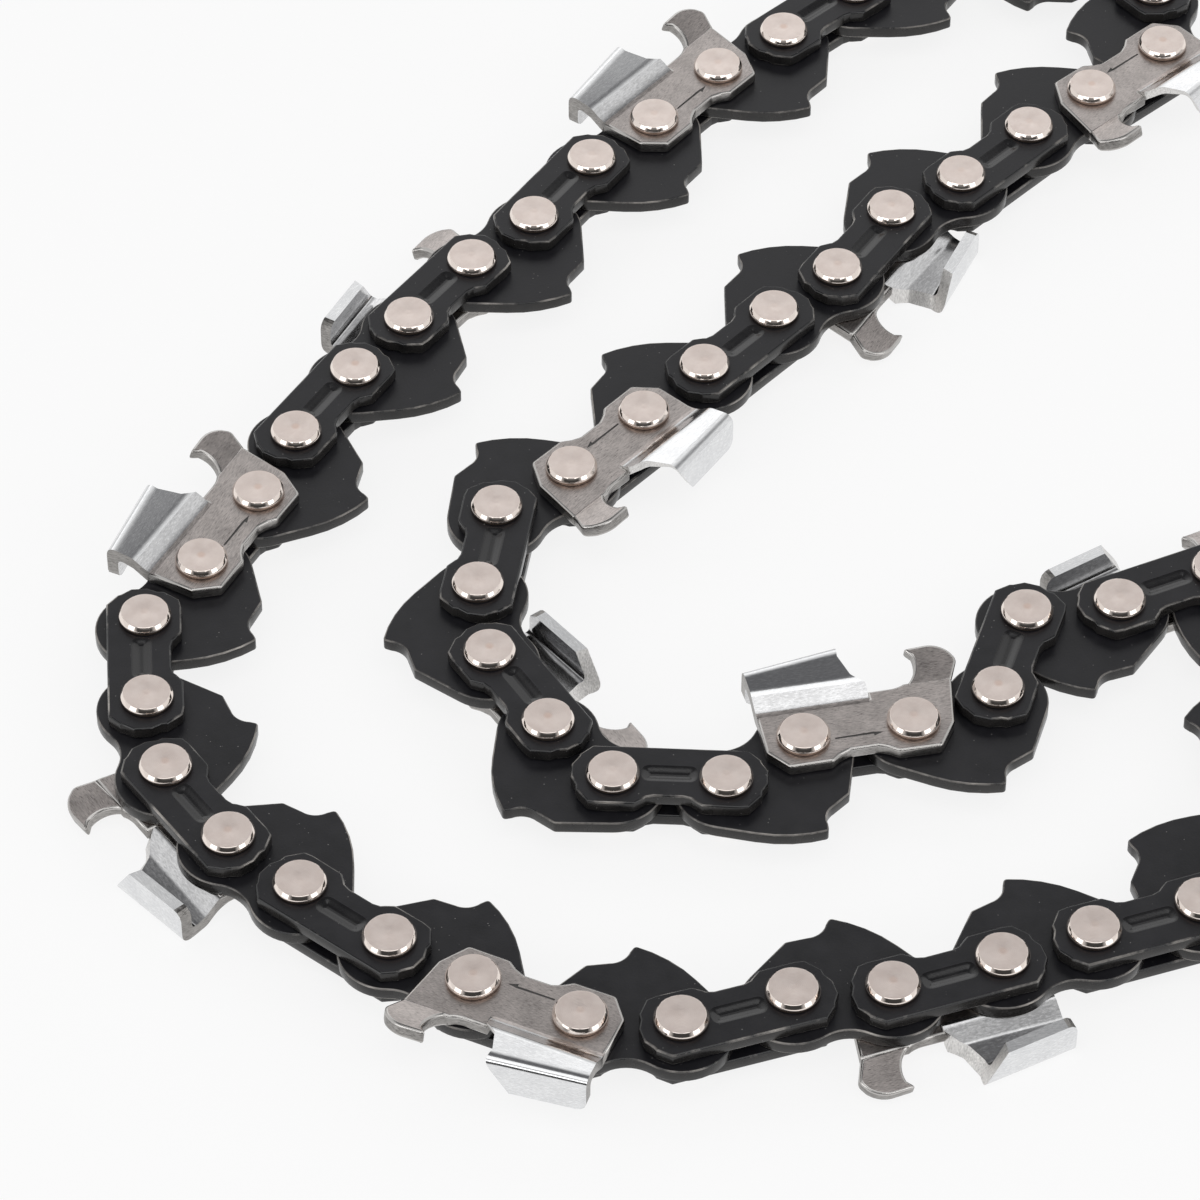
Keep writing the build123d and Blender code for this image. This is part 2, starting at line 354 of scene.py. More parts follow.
def inset(points, distance):
    """The outline moved inwards, for points that run anticlockwise."""
    moved = []
    for i, point in enumerate(points):
        here = Vector(point)
        back = (here - Vector(points[i - 1])).normalized()
        ahead = (Vector(points[(i + 1) % len(points)]) - here).normalized()
        left = Vector((-back.y, back.x)) + Vector((-ahead.y, ahead.x))
        moved.append(tuple(here + left * (distance / max(1 + back.dot(ahead), MITRE_LIMIT))))
    return moved


def ring(mesh, points, height):
    """A loop of vertices at one height."""
    return [mesh.verts.new((x * MM, y * MM, height * MM)) for x, y in points]


def bridge(mesh, low, high, slot):
    """A smooth band of faces between two loops."""
    for i, vertex in enumerate(low):
        j = (i + 1) % len(low)
        face = mesh.faces.new((vertex, low[j], high[j], high[i]))
        face.material_index = slot
        face.smooth = True


def fill(mesh, loops, slot, up=True):
    """A flat face inside the first loop, with the other loops left open."""
    edges = []
    for loop in loops:
        for i, vertex in enumerate(loop):
            ends = (loop[i - 1], vertex)
            edges.append(mesh.edges.get(ends) or mesh.edges.new(ends))
    made = bmesh.ops.triangle_fill(mesh, edges=edges, use_beauty=True, normal=(0, 0, 1 if up else -1))
    for item in made["geom"]:
        if isinstance(item, bmesh.types.BMFace):
            item.material_index = slot
    for edge in edges:
        edge.smooth = False


def plate(mesh, outline, low, high, roll, slots, holes=(), pockets=()):
    """A stamped plate with rolled edges, through holes and pressed pockets on its upper face."""
    face_slot, wall_slot, roll_slot = slots
    turns = [math.pi / 2 * i / ROLL_STEPS for i in range(ROLL_STEPS + 1)]
    levels = [(roll * (1 - math.sin(a)), low + roll * (1 - math.cos(a))) for a in turns]
    levels += [(roll * (1 - math.cos(a)), high - roll * (1 - math.sin(a))) for a in turns]
    rings = [ring(mesh, inset(outline, inward), height) for inward, height in levels]
    for index in range(len(rings) - 1):
        slot = wall_slot if index == ROLL_STEPS else roll_slot
        bridge(mesh, rings[index], rings[index + 1], slot)
    lower = [rings[0]]
    upper = [rings[-1]]
    for hole in holes:
        bottom = ring(mesh, hole, low)
        top = ring(mesh, hole, high)
        bridge(mesh, top, bottom, wall_slot)
        lower.append(bottom)
        upper.append(top)
    for edge, slope, depth, slot in pockets:
        rims = [ring(mesh, inset(edge, slope * run), high - depth * fall) for run, fall in POCKET_STEP]
        for above, below in zip(rims, rims[1:]):
            bridge(mesh, below, above, slot)
        fill(mesh, [rims[-1]], slot)
        upper.append(rims[0])
    fill(mesh, lower, face_slot, up=False)
    fill(mesh, upper, face_slot)


def circle(x, radius, segments):
    """A circle about a rivet on the chain's line."""
    turns = [2 * math.pi * i / segments for i in range(segments)]
    return [(x + radius * math.cos(a), radius * math.sin(a)) for a in turns]


def crisp(loop):
    """Keep a hard line where two bands meet."""
    for i, vertex in enumerate(loop):
        for edge in vertex.link_edges:
            if edge.other_vert(vertex) is loop[i - 1]:
                edge.smooth = False


def rivet(mesh, x):
    """A hub between the plates and, on each side, a bevelled head with a flat face and a centre mark."""
    for side in (1, -1):
        loops = [ring(mesh, circle(x, radius, HEAD_SEGMENTS), side * z) for radius, z, _, _ in HEAD_RINGS]
        for low, high, (_, _, slot, _) in zip(loops, loops[1:], HEAD_RINGS[1:]):
            bridge(mesh, low if side > 0 else high, high if side > 0 else low, slot)
        for loop, (_, _, _, hard) in zip(loops, HEAD_RINGS):
            if hard:
                crisp(loop)
        fill(mesh, [loops[-1]], RIVET_FACE, up=side > 0)
    hub = circle(x, HUB_RADIUS, HUB_SEGMENTS)
    bridge(mesh, ring(mesh, hub, -PLATE_INSIDE), ring(mesh, hub, PLATE_INSIDE), RIVET_RIM)


def drive_outline():
    """Two lobes round the rivets, a valley between them on the tooth side and a hooked tang opposite."""
    half = DRIVE_PITCH / 2
    valley = (half**2 + VALLEY_HEIGHT**2 - LOBE_RADIUS**2) / (2 * (LOBE_RADIUS - VALLEY_HEIGHT))
    meet = math.degrees(math.atan2(VALLEY_HEIGHT + valley, half))
    to_corner = Vector((TANG_CORNER[0] - half, TANG_CORNER[1]))
    front = math.degrees(math.atan2(to_corner.y, to_corner.x) + math.acos(LOBE_RADIUS / to_corner.length))
    points = arc((half, 0), LOBE_RADIUS, front, 180 - meet)
    points += arc((0, VALLEY_HEIGHT + valley), valley, -meet, meet - 180)
    points += arc((-half, 0), LOBE_RADIUS, meet, 270 - REAR_SLOPE)
    slope = math.radians(-REAR_SLOPE)
    bend = Vector(points[-1]) + REAR_FLAT * Vector((math.cos(slope), math.sin(slope)))
    to_tip = Vector(TANG_TIP) - bend
    sweep = to_tip.length_squared / (2 * to_tip.dot(Vector((-math.sin(slope), math.cos(slope)))))
    belly = bow(tuple(bend), TANG_TIP, sweep)
    notch = bow(TANG_TIP_TOP, NOTCH_END, -NOTCH_RADIUS)
    tip = [(*belly[-2], 0), (*TANG_TIP, TIP_ROUND), (*TANG_TIP_TOP, TIP_ROUND), (*notch[1], 0)]
    points += belly[:-2] + rounded(tip) + notch[2:]
    points += rounded([(*NOTCH_END, 0), (*TANG_CORNER, TANG_CORNER_ROUND), (*points[0], 0)])[1:-1]
    return clean(points)


def strap_outline():
    """A long plate with stepped, chamfered ends and a waist on the tang side."""
    front = [(TIE_PITCH / 2 + x, y, radius) for x, y, radius in STRAP_END] + STRAP_NECK
    rear = [(-x, y, radius) for x, y, radius in reversed(front)]
    return clean(list(reversed(rounded(front + rear))))


def groove_outline():
    """The pressed groove between the two rivet heads."""
    x = GROOVE_LENGTH / 2
    y = GROOVE_WIDTH / 2
    corners = [(-x, -y), (x, -y), (x, y), (-x, y)]
    return rounded([(a, b + GROOVE_OFFSET, GROOVE_ROUND) for a, b in corners], GROOVE_STEPS)


def gullet(start, end):
    """The round gullet behind the depth gauge, between two heights."""
    centre = (GAUGE_HEEL - GULLET_RADIUS, GULLET_HEIGHT + GULLET_RADIUS)
    angles = [math.degrees(math.asin((height - centre[1]) / GULLET_RADIUS)) for height in (start, end)]
    return arc(centre, GULLET_RADIUS, *angles)


def cutter_outline():
    """Base plate of the cutter up to the creases of the tooth and the depth gauge."""
    corners = [(TOOTH_FRONT, CREASE, 0), (TOOTH_REAR, CREASE, 0)] + CUTTER_HEEL_CORNERS
    corners += [(-x, y, radius) for x, y, radius in CUTTER_NECK]
    corners += CUTTER_NECK[::-1] + CUTTER_TOE_CORNERS + [(CUTTER_FRONT, GAUGE_CREASE, 0)]
    return clean(gullet(GAUGE_CREASE, GULLET_HEIGHT) + [(TOOTH_FRONT, GULLET_HEIGHT)] + rounded(corners))


def gauge_outline():
    """The depth gauge above its crease: a nose, a rounded crown and a beak over the gullet."""
    crown = bow(GAUGE_NOSE, (GAUGE_TOP, GAUGE_HEIGHT), GAUGE_CROWN_RADIUS)
    corners = [(CUTTER_FRONT, GAUGE_CREASE, 0), (*GAUGE_NOSE, GAUGE_NOSE_ROUND)]
    corners += [(*point, 0) for point in crown[NOSE_POINTS:]]
    corners.append((*GAUGE_BEAK, GAUGE_BEAK_ROUND))
    corners += [(*point, 0) for point in gullet(GAUGE_BACK_TOP, GAUGE_CREASE)]
    return clean(rounded(corners))


def arrow_outline():
    """The engraved direction mark between the rivets, with its longer barb below."""
    neck = ARROW_TIP - ARROW_HEAD
    points = [
        (ARROW_TAIL, -ARROW_LINE),
        (neck, -ARROW_LINE),
        (neck, -ARROW_BARB),
        (ARROW_TIP, 0.0),
        (neck, ARROW_UPPER_BARB),
        (ARROW_TAIL, ARROW_LINE),
    ]
    return [(x, y + ARROW_HEIGHT) for x, y in points]


def flats(points):
    """The run with a point near each end of every long flat, so that the flat keeps its own shading."""
    held = [points[0]]
    for start, end in zip(points, points[1:]):
        share = FLAT_BORDER / math.dist(start, end)
        if math.dist(start, end) > FLAT_LENGTH:
            held += [tuple(Vector(start).lerp(Vector(end), t)) for t in (share, 1 - share)]
        held.append(end)
    return held


def tooth_section(rise, flare):
    """Outer and inner run of the tooth's section, as heights above the crease and places across the chain."""
    edge = flare - TOP_PLATE_WIDTH
    under = rise - TOOTH_THICKNESS
    across = [edge + share * REAR_ROUND for share in REAR_SHARES]
    outer = [
        (-ROOT_DEPTH, PLATE_OUTSIDE - ROOT_SINK, 0),
        (0, PLATE_OUTSIDE, CREASE_BEND),
        (RAMP_RUN, PLATE_OUTSIDE + RAMP_RISE, RAMP_BEND),
        (rise, flare + CORNER_LIFT, CORNER_BEND),
    ]
    inner = [
        (-INNER_ROOT_DEPTH, PLATE_INSIDE + INNER_ROOT_LIFT, 0),
        (0, PLATE_INSIDE, INNER_CREASE_BEND),
        (RAMP_RUN, PLATE_INSIDE + RAMP_RISE, INNER_RAMP_BEND),
        (under, flare - TOOTH_THICKNESS, INNER_CORNER_BEND),
    ]
    outer += [(rise, z, 0) for z in across]
    inner += [(under, z, 0) for z in across]
    return [flats(rounded(run, TOOTH_STEPS)) for run in (outer, inner)]


def filed_front(y, z):
    """Where the round file leaves the front of the tooth."""
    over = abs(y - FILE_HEIGHT)
    if over >= FILE_RADIUS:
        return TOOTH_FRONT
    lean = (z - PLATE_OUTSIDE - SIDE_FLARE) * math.tan(FILE_ANGLE)
    depth = math.sqrt(FILE_RADIUS**2 - over**2) / math.cos(FILE_ANGLE)
    return min(TOOTH_FRONT, FILE_FORWARD + lean - depth)


def tooth_run(rear, front):
    """Points along the tooth from its rear to its filed front, between a point of each end section."""
    rise, across = rear
    start = Vector((TOOTH_REAR - rise * math.sin(TOOTH_LEAN), CREASE + rise * math.cos(TOOTH_LEAN), across))
    end = Vector((TOOTH_FRONT, CREASE + front[0], front[1]))
    length = end.x - start.x
    share = 1.0
    for _ in range(FILING_ROUNDS):
        here = start.lerp(end, share)
        share = (filed_front(here.y, here.z) - start.x) / length
    from_edge = max(0.0, across - (PLATE_OUTSIDE + SIDE_FLARE_REAR - TOP_PLATE_WIDTH))
    within_round = max(REAR_ROUND - from_edge, 0.0)
    first = (REAR_ROUND - math.sqrt(max(REAR_ROUND**2 - within_round**2, 0.0))) / length
    stations = [first + (share - first) * k / TOOTH_STATIONS for k in range(TOOTH_STATIONS + 1)]
    return [start.lerp(end, station) * MM for station in stations]


def outer_slot(index):
    """The slot of a band on the tooth's outer side."""
    if index < RAMP_START:
        return STEEL
    if index < SIDE_START:
        return RAMP
    return CHROME


def tooth(mesh):
    """Side plate and top plate of the cutter, hollow-ground at the front."""
    rears = tooth_section(TOOTH_RISE - TOOTH_FALL, PLATE_OUTSIDE + SIDE_FLARE_REAR)
    fronts = tooth_section(TOOTH_RISE, PLATE_OUTSIDE + SIDE_FLARE)
    outer, inner = [
        [[mesh.verts.new(point) for point in tooth_run(rear, front)] for rear, front in zip(*pair)]
        for pair in zip(rears, fronts)
    ]

    def face(slot, smooth, *corners):
        made = mesh.faces.new(corners)
        made.material_index = slot
        made.smooth = smooth

    # The tooth's rear end and root take the darker wall steel, which is painted shade
    for i in range(len(outer) - 1):
        for k in range(TOOTH_STATIONS):
            face(outer_slot(i), True, outer[i][k], outer[i][k + 1], outer[i + 1][k + 1], outer[i + 1][k])
            face(RAMP, True, inner[i + 1][k], inner[i + 1][k + 1], inner[i][k + 1], inner[i][k])
        face(SHADED_STEEL_WALL, False, outer[i][0], outer[i + 1][0], inner[i + 1][0], inner[i][0])
        face(FILED, True, outer[i + 1][-1], outer[i][-1], inner[i][-1], inner[i + 1][-1])
    for k in range(TOOTH_STATIONS):
        face(CHROME, False, outer[-1][k], outer[-1][k + 1], inner[-1][k + 1], inner[-1][k])
        face(SHADED_STEEL_WALL, False, inner[0][k], inner[0][k + 1], outer[0][k + 1], outer[0][k])
    for run in (outer, inner):
        crisp([strand[-1] for strand in run])


def join(mesh, other):
    """Add another form to this one."""
    part = bpy.data.meshes.new("part")
    other.to_mesh(part)
    other.free()
    mesh.from_mesh(part)
    bpy.data.meshes.remove(part)


def mirrored(build):
    """The same form on the other side of the chain's middle."""
    made = bmesh.new()
    build(made)
    bmesh.ops.scale(made, vec=(1, 1, -1), verts=made.verts)
    bmesh.ops.reverse_faces(made, faces=made.faces)
    return made


def strap(mesh):
    """A tie strap on the upper side of the chain."""
    slots = (BLACK, BLACK_WALL, ROLLED_RUB_AND_GLINT)
    groove = [(groove_outline(), GROOVE_SLOPE, GROOVE_DEPTH, GLOSS)]
    plate(mesh, strap_outline(), PLATE_INSIDE, PLATE_OUTSIDE, STRAP_ROLL, slots, pockets=groove)


def cutter(mesh):
    """A cutter on the upper side of the chain."""
    # The plate's walls take the darker wall steel, which is painted shade
    slots = (STEEL, SHADED_STEEL_WALL, EDGE)
    arrow = [(arrow_outline(), ARROW_SLOPE, ARROW_DEPTH, ENGRAVED)]
    plate(mesh, cutter_outline(), PLATE_INSIDE, PLATE_OUTSIDE, CUTTER_ROLL, slots, pockets=arrow)
    tooth(mesh)
    gauge = bmesh.new()
    plate(gauge, gauge_outline(), PLATE_INSIDE, PLATE_OUTSIDE, CUTTER_ROLL, slots)
    crease = Vector((0, GAUGE_CREASE, PLATE_INSIDE)) * MM
    bmesh.ops.rotate(gauge, cent=crease, matrix=Matrix.Rotation(GAUGE_BEND, 3, "X"), verts=gauge.verts)
    join(mesh, gauge)


def tie_link(upper, lower):
    """A link of two plates and two rivets."""
    def build(mesh):
        upper(mesh)
        join(mesh, mirrored(lower))
        for x in (-TIE_PITCH / 2, TIE_PITCH / 2):
            rivet(mesh, x)
    return build


def drive_link(mesh):
    """A drive link with its two bores."""
    slots = (BLACK, BLACK_WALL, WORN)
    side = DRIVE_THICKNESS / 2
    bores = [circle(x, BORE_RADIUS, HUB_SEGMENTS) for x in (-DRIVE_PITCH / 2, DRIVE_PITCH / 2)]
    plate(mesh, drive_outline(), -side, side, DRIVE_ROLL, slots, holes=bores)


def feed(tree, value, target):
    """Link another node's output to a socket, or set a plain value there."""
    if isinstance(value, bpy.types.NodeSocket):
        tree.links.new(value, target)
    else:
        target.default_value = value


def socket(tree, kind, output=0, inputs=None, **settings):
    """A shader node with its settings and inputs, as the output that others read."""
    node = tree.nodes.new(kind)
    for name, value in settings.items():
        setattr(node, name, value)
    for name, value in (inputs or {}).items():
        feed(tree, value, node.inputs[name])
    return node.outputs[output]


def calculate(tree, operation, *values):
    """The result of a calculation with one or two values."""
    return socket(tree, "ShaderNodeMath", inputs=dict(enumerate(values)), operation=operation)


def blank(name, values):
    """A material with plain values on its shader, and its node tree and shader."""
    made = bpy.data.materials.new(name)
    made.use_nodes = True
    shader = made.node_tree.nodes["Principled BSDF"]
    for key, value in values.items():
        shader.inputs[key].default_value = value
    return made, made.node_tree, shader


def on_link(tree):
    """Coordinates on the link."""
    return socket(tree, "ShaderNodeAttribute", "Vector", attribute_name="link_place")


def place(tree, stretch=(1, 1, 1)):
    """Coordinates on the link, shifted by a different amount on each link."""
    own = socket(tree, "ShaderNodeObjectInfo", "Random")
    shifted = socket(tree, "ShaderNodeVectorMath", inputs={0: on_link(tree), 1: own}, operation="ADD")
    return socket(tree, "ShaderNodeVectorMath", inputs={0: shifted, 1: stretch}, operation="MULTIPLY")


def noise(tree, where, scale, detail=3.0, roughness=0.55):
    """Noise with a scale in cells per metre."""
    inputs = {"Vector": where, "Scale": scale, "Detail": detail, "Roughness": roughness}
    return socket(tree, "ShaderNodeTexNoise", "Fac", inputs)


def spread(tree, value, span, to=(0.0, 1.0)):
    """A value stretched from one range to another."""
    inputs = {"Value": value, "From Min": span[0], "From Max": span[1], "To Min": to[0], "To Max": to[1]}
    return socket(tree, "ShaderNodeMapRange", inputs=inputs)


def mix(tree, factor, first, second):
    """Two colours mixed by a factor."""
    # The colour mix has its factor, its two colours and its result at these places among its sockets
    inputs = {0: factor, 6: first, 7: second}
    return socket(tree, "ShaderNodeMix", 2, inputs, data_type="RGBA")


def bump(tree, shader, height, distance, strength):
    """Small relief on the surface, with its distance in metres."""
    inputs = {"Height": height, "Distance": distance, "Strength": strength}
    feed(tree, socket(tree, "ShaderNodeBump", inputs=inputs), shader.inputs["Normal"])


def black_steel(name, dark, light, rough, dust, ior=1.45):
    """Blackened steel: uneven tone, fine pits and specks of bright dust."""
    made, tree, shader = blank(name, {"IOR": ior})
    where = place(tree)
    cloud = noise(tree, where, scale=420.0, detail=5.0)
    grain = noise(tree, where, scale=5200.0, detail=2.0)
    chosen = noise(tree, where, scale=900.0, detail=1.0)
    dots = socket(tree, "ShaderNodeTexVoronoi", "Distance", {"Vector": where, "Scale": 1700.0})
    dot = spread(tree, dots, span=(0.11, 0.06))
    speck = calculate(tree, "MULTIPLY", dot, spread(tree, chosen, span=(0.52, 0.6)))
    tone = mix(tree, spread(tree, cloud, span=(0.3, 0.7)), dark, light)
    colour = mix(tree, calculate(tree, "MULTIPLY", speck, dust), tone, DUST)
    gloss = spread(tree, cloud, span=(0.25, 0.75), to=(rough - 0.06, rough + 0.08))
    feed(tree, colour, shader.inputs["Base Color"])
    feed(tree, gloss, shader.inputs["Roughness"])
    bump(tree, shader, grain, distance=0.00002, strength=0.35)
    return made


def worn_and_glinting_black(name, rub_and_glint_span, rough):
    """Edge of a blackened plate, bright where the noise is in the upper part of a span or above it: rubbed
    bare steel, and on the straps' rolled edges also painted highlights for their glints.
    """
    made, tree, shader = blank(name, {"IOR": 1.6})
    where = place(tree)
    rub_and_glint = spread(tree, noise(tree, where, scale=260.0, detail=4.0, roughness=0.6), rub_and_glint_span)
    feed(tree, mix(tree, rub_and_glint, EDGE_BLACK, RUBBED_STEEL_AND_GLINT), shader.inputs["Base Color"])
    feed(tree, spread(tree, rub_and_glint, span=(0.0, 1.0), to=(0.1, 0.9)), shader.inputs["Metallic"])
    feed(tree, spread(tree, rub_and_glint, span=(0.0, 1.0), to=(rough, rough + 0.12)), shader.inputs["Roughness"])
    bump(tree, shader, noise(tree, where, scale=1400.0, detail=2.0), distance=0.00001, strength=0.15)
    return made


def rivet_face():
    """Flat head of a rivet: warm nickel with faint turning rings and a copper-toned centre."""
    made, tree, shader = blank("rivet_face", {"Metallic": 1.0})
    parts = tree.nodes.new("ShaderNodeSeparateXYZ")
    feed(tree, on_link(tree), parts.inputs[0])
    along = calculate(tree, "SUBTRACT", calculate(tree, "ABSOLUTE", parts.outputs["X"]), TIE_PITCH / 2 * MM)
    flat = socket(tree, "ShaderNodeCombineXYZ", inputs={"X": along, "Y": parts.outputs["Y"]})
    radius = socket(tree, "ShaderNodeVectorMath", "Value", {0: flat}, operation="LENGTH")
    rings = calculate(tree, "SINE", calculate(tree, "MULTIPLY", radius, 2 * math.pi / (TURNING_PITCH * MM)))
    cloud = noise(tree, place(tree), scale=900.0, detail=4.0)
    streak = noise(tree, place(tree, (1.0, 6.0, 1.0)), scale=1800.0)
    tone = mix(tree, spread(tree, cloud, span=(0.35, 0.65)), NICKEL_DARK, NICKEL_LIGHT)
    own = spread(tree, socket(tree, "ShaderNodeObjectInfo", "Random"), span=(0.15, 0.85), to=(0.0, 0.35))
    core = spread(tree, radius, span=(TINT_EDGE * MM, TINT_CORE * MM))
    colour = mix(tree, calculate(tree, "MULTIPLY", core, own), tone, COPPER)
    feed(tree, colour, shader.inputs["Base Color"])
    feed(tree, spread(tree, streak, span=(0.3, 0.7), to=(0.3, 0.46)), shader.inputs["Roughness"])
    bump(tree, shader, rings, distance=0.000004, strength=0.25)
    return made


def polished(name, colour, rough):
    """Polished metal with slight waviness."""
    made, tree, shader = blank(name, {"Base Color": colour, "Metallic": 1.0})
    where = place(tree)
    gloss = spread(tree, noise(tree, where, scale=1500.0), span=(0.3, 0.7), to=(rough, rough + 0.05))
    feed(tree, gloss, shader.inputs["Roughness"])
    bump(tree, shader, noise(tree, where, scale=900.0, detail=2.0), distance=0.00001, strength=0.1)
    return made


def brushed_steel(name, dark, light, rough, along, relief, grime, depth):
    """Bare steel with fine brush marks, dull patches and specks of dirt."""
    made, tree, shader = blank(name, {"Metallic": 1.0})
    scratch = noise(tree, place(tree, along), scale=2200.0, detail=4.0, roughness=0.65)
    patch = noise(tree, place(tree), scale=420.0, roughness=0.5)
    dirt = noise(tree, place(tree), scale=3600.0, roughness=0.6)
    deep = (*[channel * (1 - depth) for channel in dark[:3]], 1)
    pale = (*[min(1.0, channel * PALE_GAIN) for channel in light[:3]], 1)
    tone = mix(tree, spread(tree, patch, span=(0.32, 0.68)), dark, light)
    raised = mix(tree, spread(tree, scratch, span=(0.52, 0.7)), tone, pale)
    brushed = mix(tree, spread(tree, scratch, span=(0.5, 0.32)), raised, deep)
    specks = spread(tree, dirt, span=(0.62, 0.74), to=(0.0, grime))
    feed(tree, mix(tree, specks, brushed, DIRT), shader.inputs["Base Color"])
    feed(tree, spread(tree, scratch, span=(0.3, 0.7), to=rough), shader.inputs["Roughness"])
    bump(tree, shader, scratch, distance=0.00003, strength=relief)
    return made


def black_materials():
    """Materials of the blackened plates, in the order of the first slots."""
    return [
        black_steel("black_face", dark=(0.0065, 0.0065, 0.0085, 1), light=(0.0135, 0.0132, 0.016, 1),
                    rough=0.34, dust=0.5),
        black_steel("black_wall", dark=(0.01, 0.0095, 0.0095, 1), light=(0.028, 0.026, 0.025, 1),
                    rough=0.24, dust=0.3),
        black_steel("gloss_black", dark=(0.006, 0.006, 0.007, 1), light=(0.012, 0.0115, 0.0125, 1),
                    rough=0.2, dust=0.0, ior=1.55),
        # On the straps' rolled edges the bright patches are painted glints as well as rubbed steel
        worn_and_glinting_black("rolled_edge_painted_glints", rub_and_glint_span=(0.5, 0.72), rough=0.13),
        worn_and_glinting_black("worn_edge", rub_and_glint_span=(0.4, 0.7), rough=0.24),
    ]


def rivet_materials():
    """Materials of the rivets, in the order of their slots."""
    return [
        rivet_face(),
        polished("rivet_rim", colour=(0.86, 0.77, 0.71, 1), rough=0.03),
        polished("rivet_wall", colour=(0.4, 0.3, 0.245, 1), rough=0.06),
    ]


def cutter_materials():
    """Materials of the cutters, in the order of the last slots."""
    return [
        brushed_steel("cutter_face", dark=(0.39, 0.358, 0.343, 1), light=(0.56, 0.512, 0.49, 1),
                      rough=(0.26, 0.4), along=(1.0, 9.0, 1.0), relief=0.28, grime=0.16, depth=0.4),
        # The walls are a darker copy of the cutter steel: painted shade
        brushed_steel("cutter_wall_painted_shade", dark=(0.24, 0.23, 0.22, 1), light=(0.4, 0.385, 0.37, 1),
                      rough=(0.24, 0.44), along=(1.0, 1.0, 7.0), relief=0.4, grime=0.3, depth=0.4),
        polished("cutter_edge", colour=(0.5, 0.485, 0.47, 1), rough=0.2),
        brushed_steel("cutter_ramp", dark=(0.56, 0.56, 0.565, 1), light=(0.7, 0.7, 0.705, 1),
                      rough=(0.12, 0.2), along=(1.0, 3.0, 3.0), relief=0.05, grime=0.08, depth=0.1),
        brushed_steel("chrome", dark=(0.72, 0.725, 0.735, 1), light=(0.8, 0.805, 0.81, 1),
                      rough=(0.1, 0.17), along=(1.0, 5.0, 5.0), relief=0.02, grime=0.06, depth=0.05),
        brushed_steel("filed_front", dark=(0.64, 0.63, 0.615, 1), light=(0.8, 0.785, 0.77, 1),
                      rough=(0.3, 0.44), along=(4.0, 4.0, 0.4), relief=0.3, grime=0.0, depth=0.25),
        black_steel("engraved", dark=(0.05, 0.048, 0.046, 1), light=(0.09, 0.086, 0.084, 1),
                    rough=0.5, dust=0.0),
    ]


def finished(name, build, materials):
    """A link's mesh with its materials, and with its points' places on the link kept for them."""
    mesh = bmesh.new()
    build(mesh)
    bmesh.ops.recalc_face_normals(mesh, faces=mesh.faces)
    data = bpy.data.meshes.new(name)
    mesh.to_mesh(data)
    mesh.free()
    spots = data.attributes.new("link_place", "FLOAT_VECTOR", "POINT")
    for spot, vertex in zip(spots.data, data.vertices):
        spot.vector = vertex.co
    for item in materials:
        data.materials.append(item)
    return data


def chain_order(count):
    """Names of the links in chain order, tie link first, and the kind of each."""
    ties = ("tie_link", "left_cutter_link", "tie_link", "right_cutter_link")
    seen = {}
    order = []
    for index in range(count):
        kind = "drive_link" if index % 2 else ties[index // 2 % len(ties)]
        seen[kind] = seen.get(kind, 0) + 1
        order.append((f"{kind}_{seen[kind]:02d}", kind))
    return order


def rivet_centres(order):
    """Each rivet's centre: the one at the opened pivot from its mount, the others from the hinges."""
    hinges = {}
    for hinge in frame["joints"]:
        hinges[frozenset((hinge["parent"], hinge["child"]))] = Vector(hinge["pos_m"])
    middle = next(iter(hinges.values())).z
    foot = next(mount for mount in frame["record"]["mounts"] if mount["name"] == "rivet_head")
    first = Vector((foot["pos_m"][0], foot["pos_m"][1], middle))
    names = [name for name, _ in order]
    return [first] + [hinges[frozenset(pair)] for pair in zip(names, names[1:])]


def dress_chain():
    """Put a detailed link on each body of the chain."""
    materials = black_materials() + rivet_materials() + cutter_materials()
    meshes = {
        "drive_link": finished("drive_link", drive_link, materials),
        "tie_link": finished("tie_link", tie_link(strap, strap), materials),
        "right_cutter_link": finished("right_cutter_link", tie_link(cutter, strap), materials),
        "left_cutter_link": finished("left_cutter_link", tie_link(strap, cutter), materials),
    }
    order = chain_order(len(frame["bodies"]))
    rivets = rivet_centres(order)
    for index, (name, kind) in enumerate(order):
        rear = rivets[index]
        front = rivets[(index + 1) % len(rivets)]
        way = front - rear
        turn = Matrix.Rotation(math.atan2(way.y, way.x), 4, "Z")
        shape = meshes[kind].copy()
        shape.transform(Matrix.Translation((rear + front) / 2) @ turn)
        link = bpy.data.objects.new(f"{name}_look", shape)
        bpy.context.scene.collection.objects.link(link)
        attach(link, name)
        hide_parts(name)
    return rivets


def camera(first_rivet):
    """A camera where the photograph was taken, and the point that it looks at."""
    aim = first_rivet + Vector((*AIM_FROM_RIVET, HEAD_TOP)) * MM
    data = bpy.data.cameras.new("camera")
    data.lens = LENS
    data.sensor_width = SENSOR
    data.clip_start = CLIP_START
    eye = bpy.data.objects.new("camera", data)
    back = Vector((0, -math.cos(EYE_ELEVATION), math.sin(EYE_ELEVATION)))
    eye.location = aim + back * EYE_DISTANCE * MM
    eye.rotation_euler = (math.pi / 2 - EYE_ELEVATION, 0, 0)
    bpy.context.scene.collection.objects.link(eye)
    bpy.context.scene.camera = eye
    return aim


def in_sight(tree):
    """One for what the camera sees, by itself, in a reflection or through glass."""
    paths = tree.nodes.new("ShaderNodeLightPath").outputs
    seen = calculate(tree, "MAXIMUM", paths["Is Camera Ray"], paths["Is Glossy Ray"])
    return calculate(tree, "MAXIMUM", seen, paths["Is Transmission Ray"])


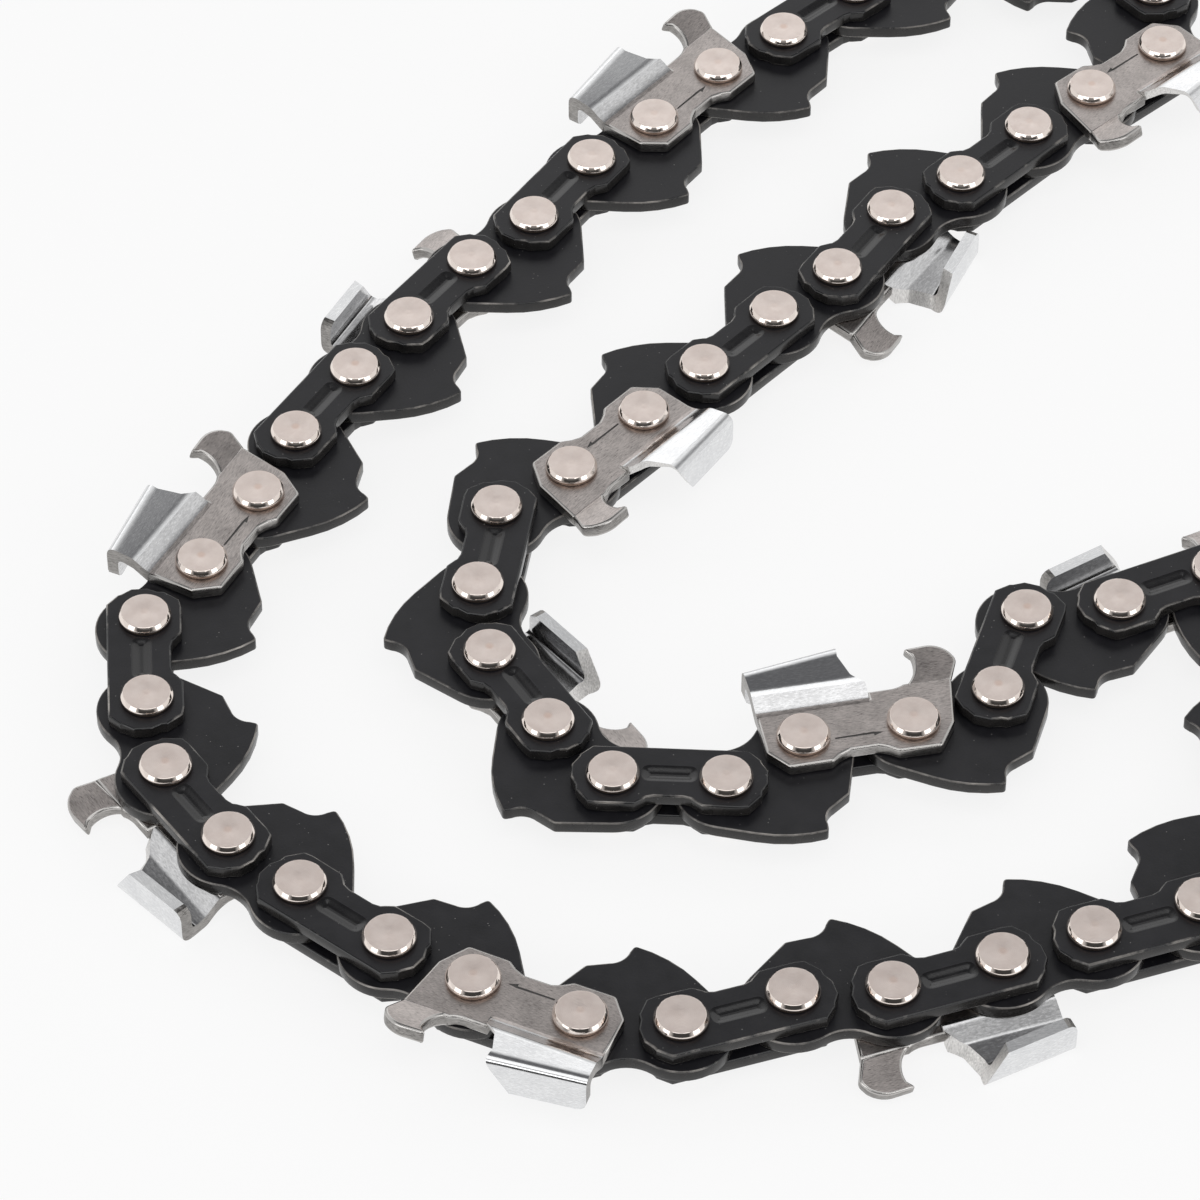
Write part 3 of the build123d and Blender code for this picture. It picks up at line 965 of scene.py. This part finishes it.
def floor(aim):
    """A plain white floor that keeps a soft shadow."""
    data = bpy.data.meshes.new("floor")
    half = FLOOR_SIZE / 2
    corners = [(-half, -half, 0), (half, -half, 0), (half, half, 0), (-half, half, 0)]
    data.from_pydata(corners, [], [(0, 1, 2, 3)])
    made, tree, shader = blank("floor", {"Base Color": FLOOR_COLOUR, "Roughness": FLOOR_ROUGHNESS})
    white = socket(tree, "ShaderNodeEmission", inputs={"Color": (1, 1, 1, 1), "Strength": 1.0})
    share = calculate(tree, "MULTIPLY", in_sight(tree), 1 - SHADOW_SHARE)
    mixed = socket(tree, "ShaderNodeMixShader", inputs={0: share, 1: shader.outputs[0], 2: white})
    feed(tree, mixed, tree.nodes["Material Output"].inputs["Surface"])
    data.materials.append(made)
    ground = bpy.data.objects.new("floor", data)
    ground.location = (aim.x, aim.y, 0)
    bpy.context.scene.collection.objects.link(ground)


def softbox(aim, name, azimuth, elevation, width, height, power):
    """A soft light that points at the chain."""
    data = bpy.data.lights.new(name, "AREA")
    data.shape = "RECTANGLE"
    data.size = width
    data.size_y = height
    data.energy = power
    lamp = bpy.data.objects.new(name, data)
    turn = math.radians(azimuth)
    lift = math.radians(elevation)
    way = Vector((math.sin(turn) * math.cos(lift), math.cos(turn) * math.cos(lift), math.sin(lift)))
    lamp.location = aim + way * LAMP_DISTANCE
    lamp.rotation_euler = way.to_track_quat("Z", "Y").to_euler()
    bpy.context.scene.collection.objects.link(lamp)


def room():
    """A pale room, dark high at the back and dim at the front, for the metal to reflect."""
    world = bpy.data.worlds.new("studio")
    bpy.context.scene.world = world
    world.use_nodes = True
    tree = world.node_tree
    way = tree.nodes.new("ShaderNodeSeparateXYZ")
    feed(tree, socket(tree, "ShaderNodeTexCoord", "Generated"), way.inputs[0])
    aside = calculate(tree, "ABSOLUTE", way.outputs["X"])
    height = way.outputs["Z"]
    low_back = mix(tree, spread(tree, height, BACK_FOOT_SPAN), BACK_FOOT, BACK_WALL)
    back = mix(tree, spread(tree, height, BACK_TOP_SPAN), low_back, BACK_TOP)
    front = mix(tree, spread(tree, height, FRONT_SPAN), FRONT_FOOT, FRONT_TOP)
    sides = mix(tree, spread(tree, height, SIDE_SPAN), SIDE_WALL, SIDE_TOP)
    middle = mix(tree, spread(tree, way.outputs["Y"], FRONT_TO_BACK), front, back)
    walls = mix(tree, spread(tree, aside, MIDDLE_TO_SIDE), middle, sides)
    feed(tree, walls, tree.nodes["Background"].inputs["Color"])


rivets = dress_chain()
aim = camera(rivets[0])
floor(aim)
for lamp in LAMPS:
    softbox(aim, **lamp)
room()
bpy.context.scene.view_settings.view_transform = "Standard"
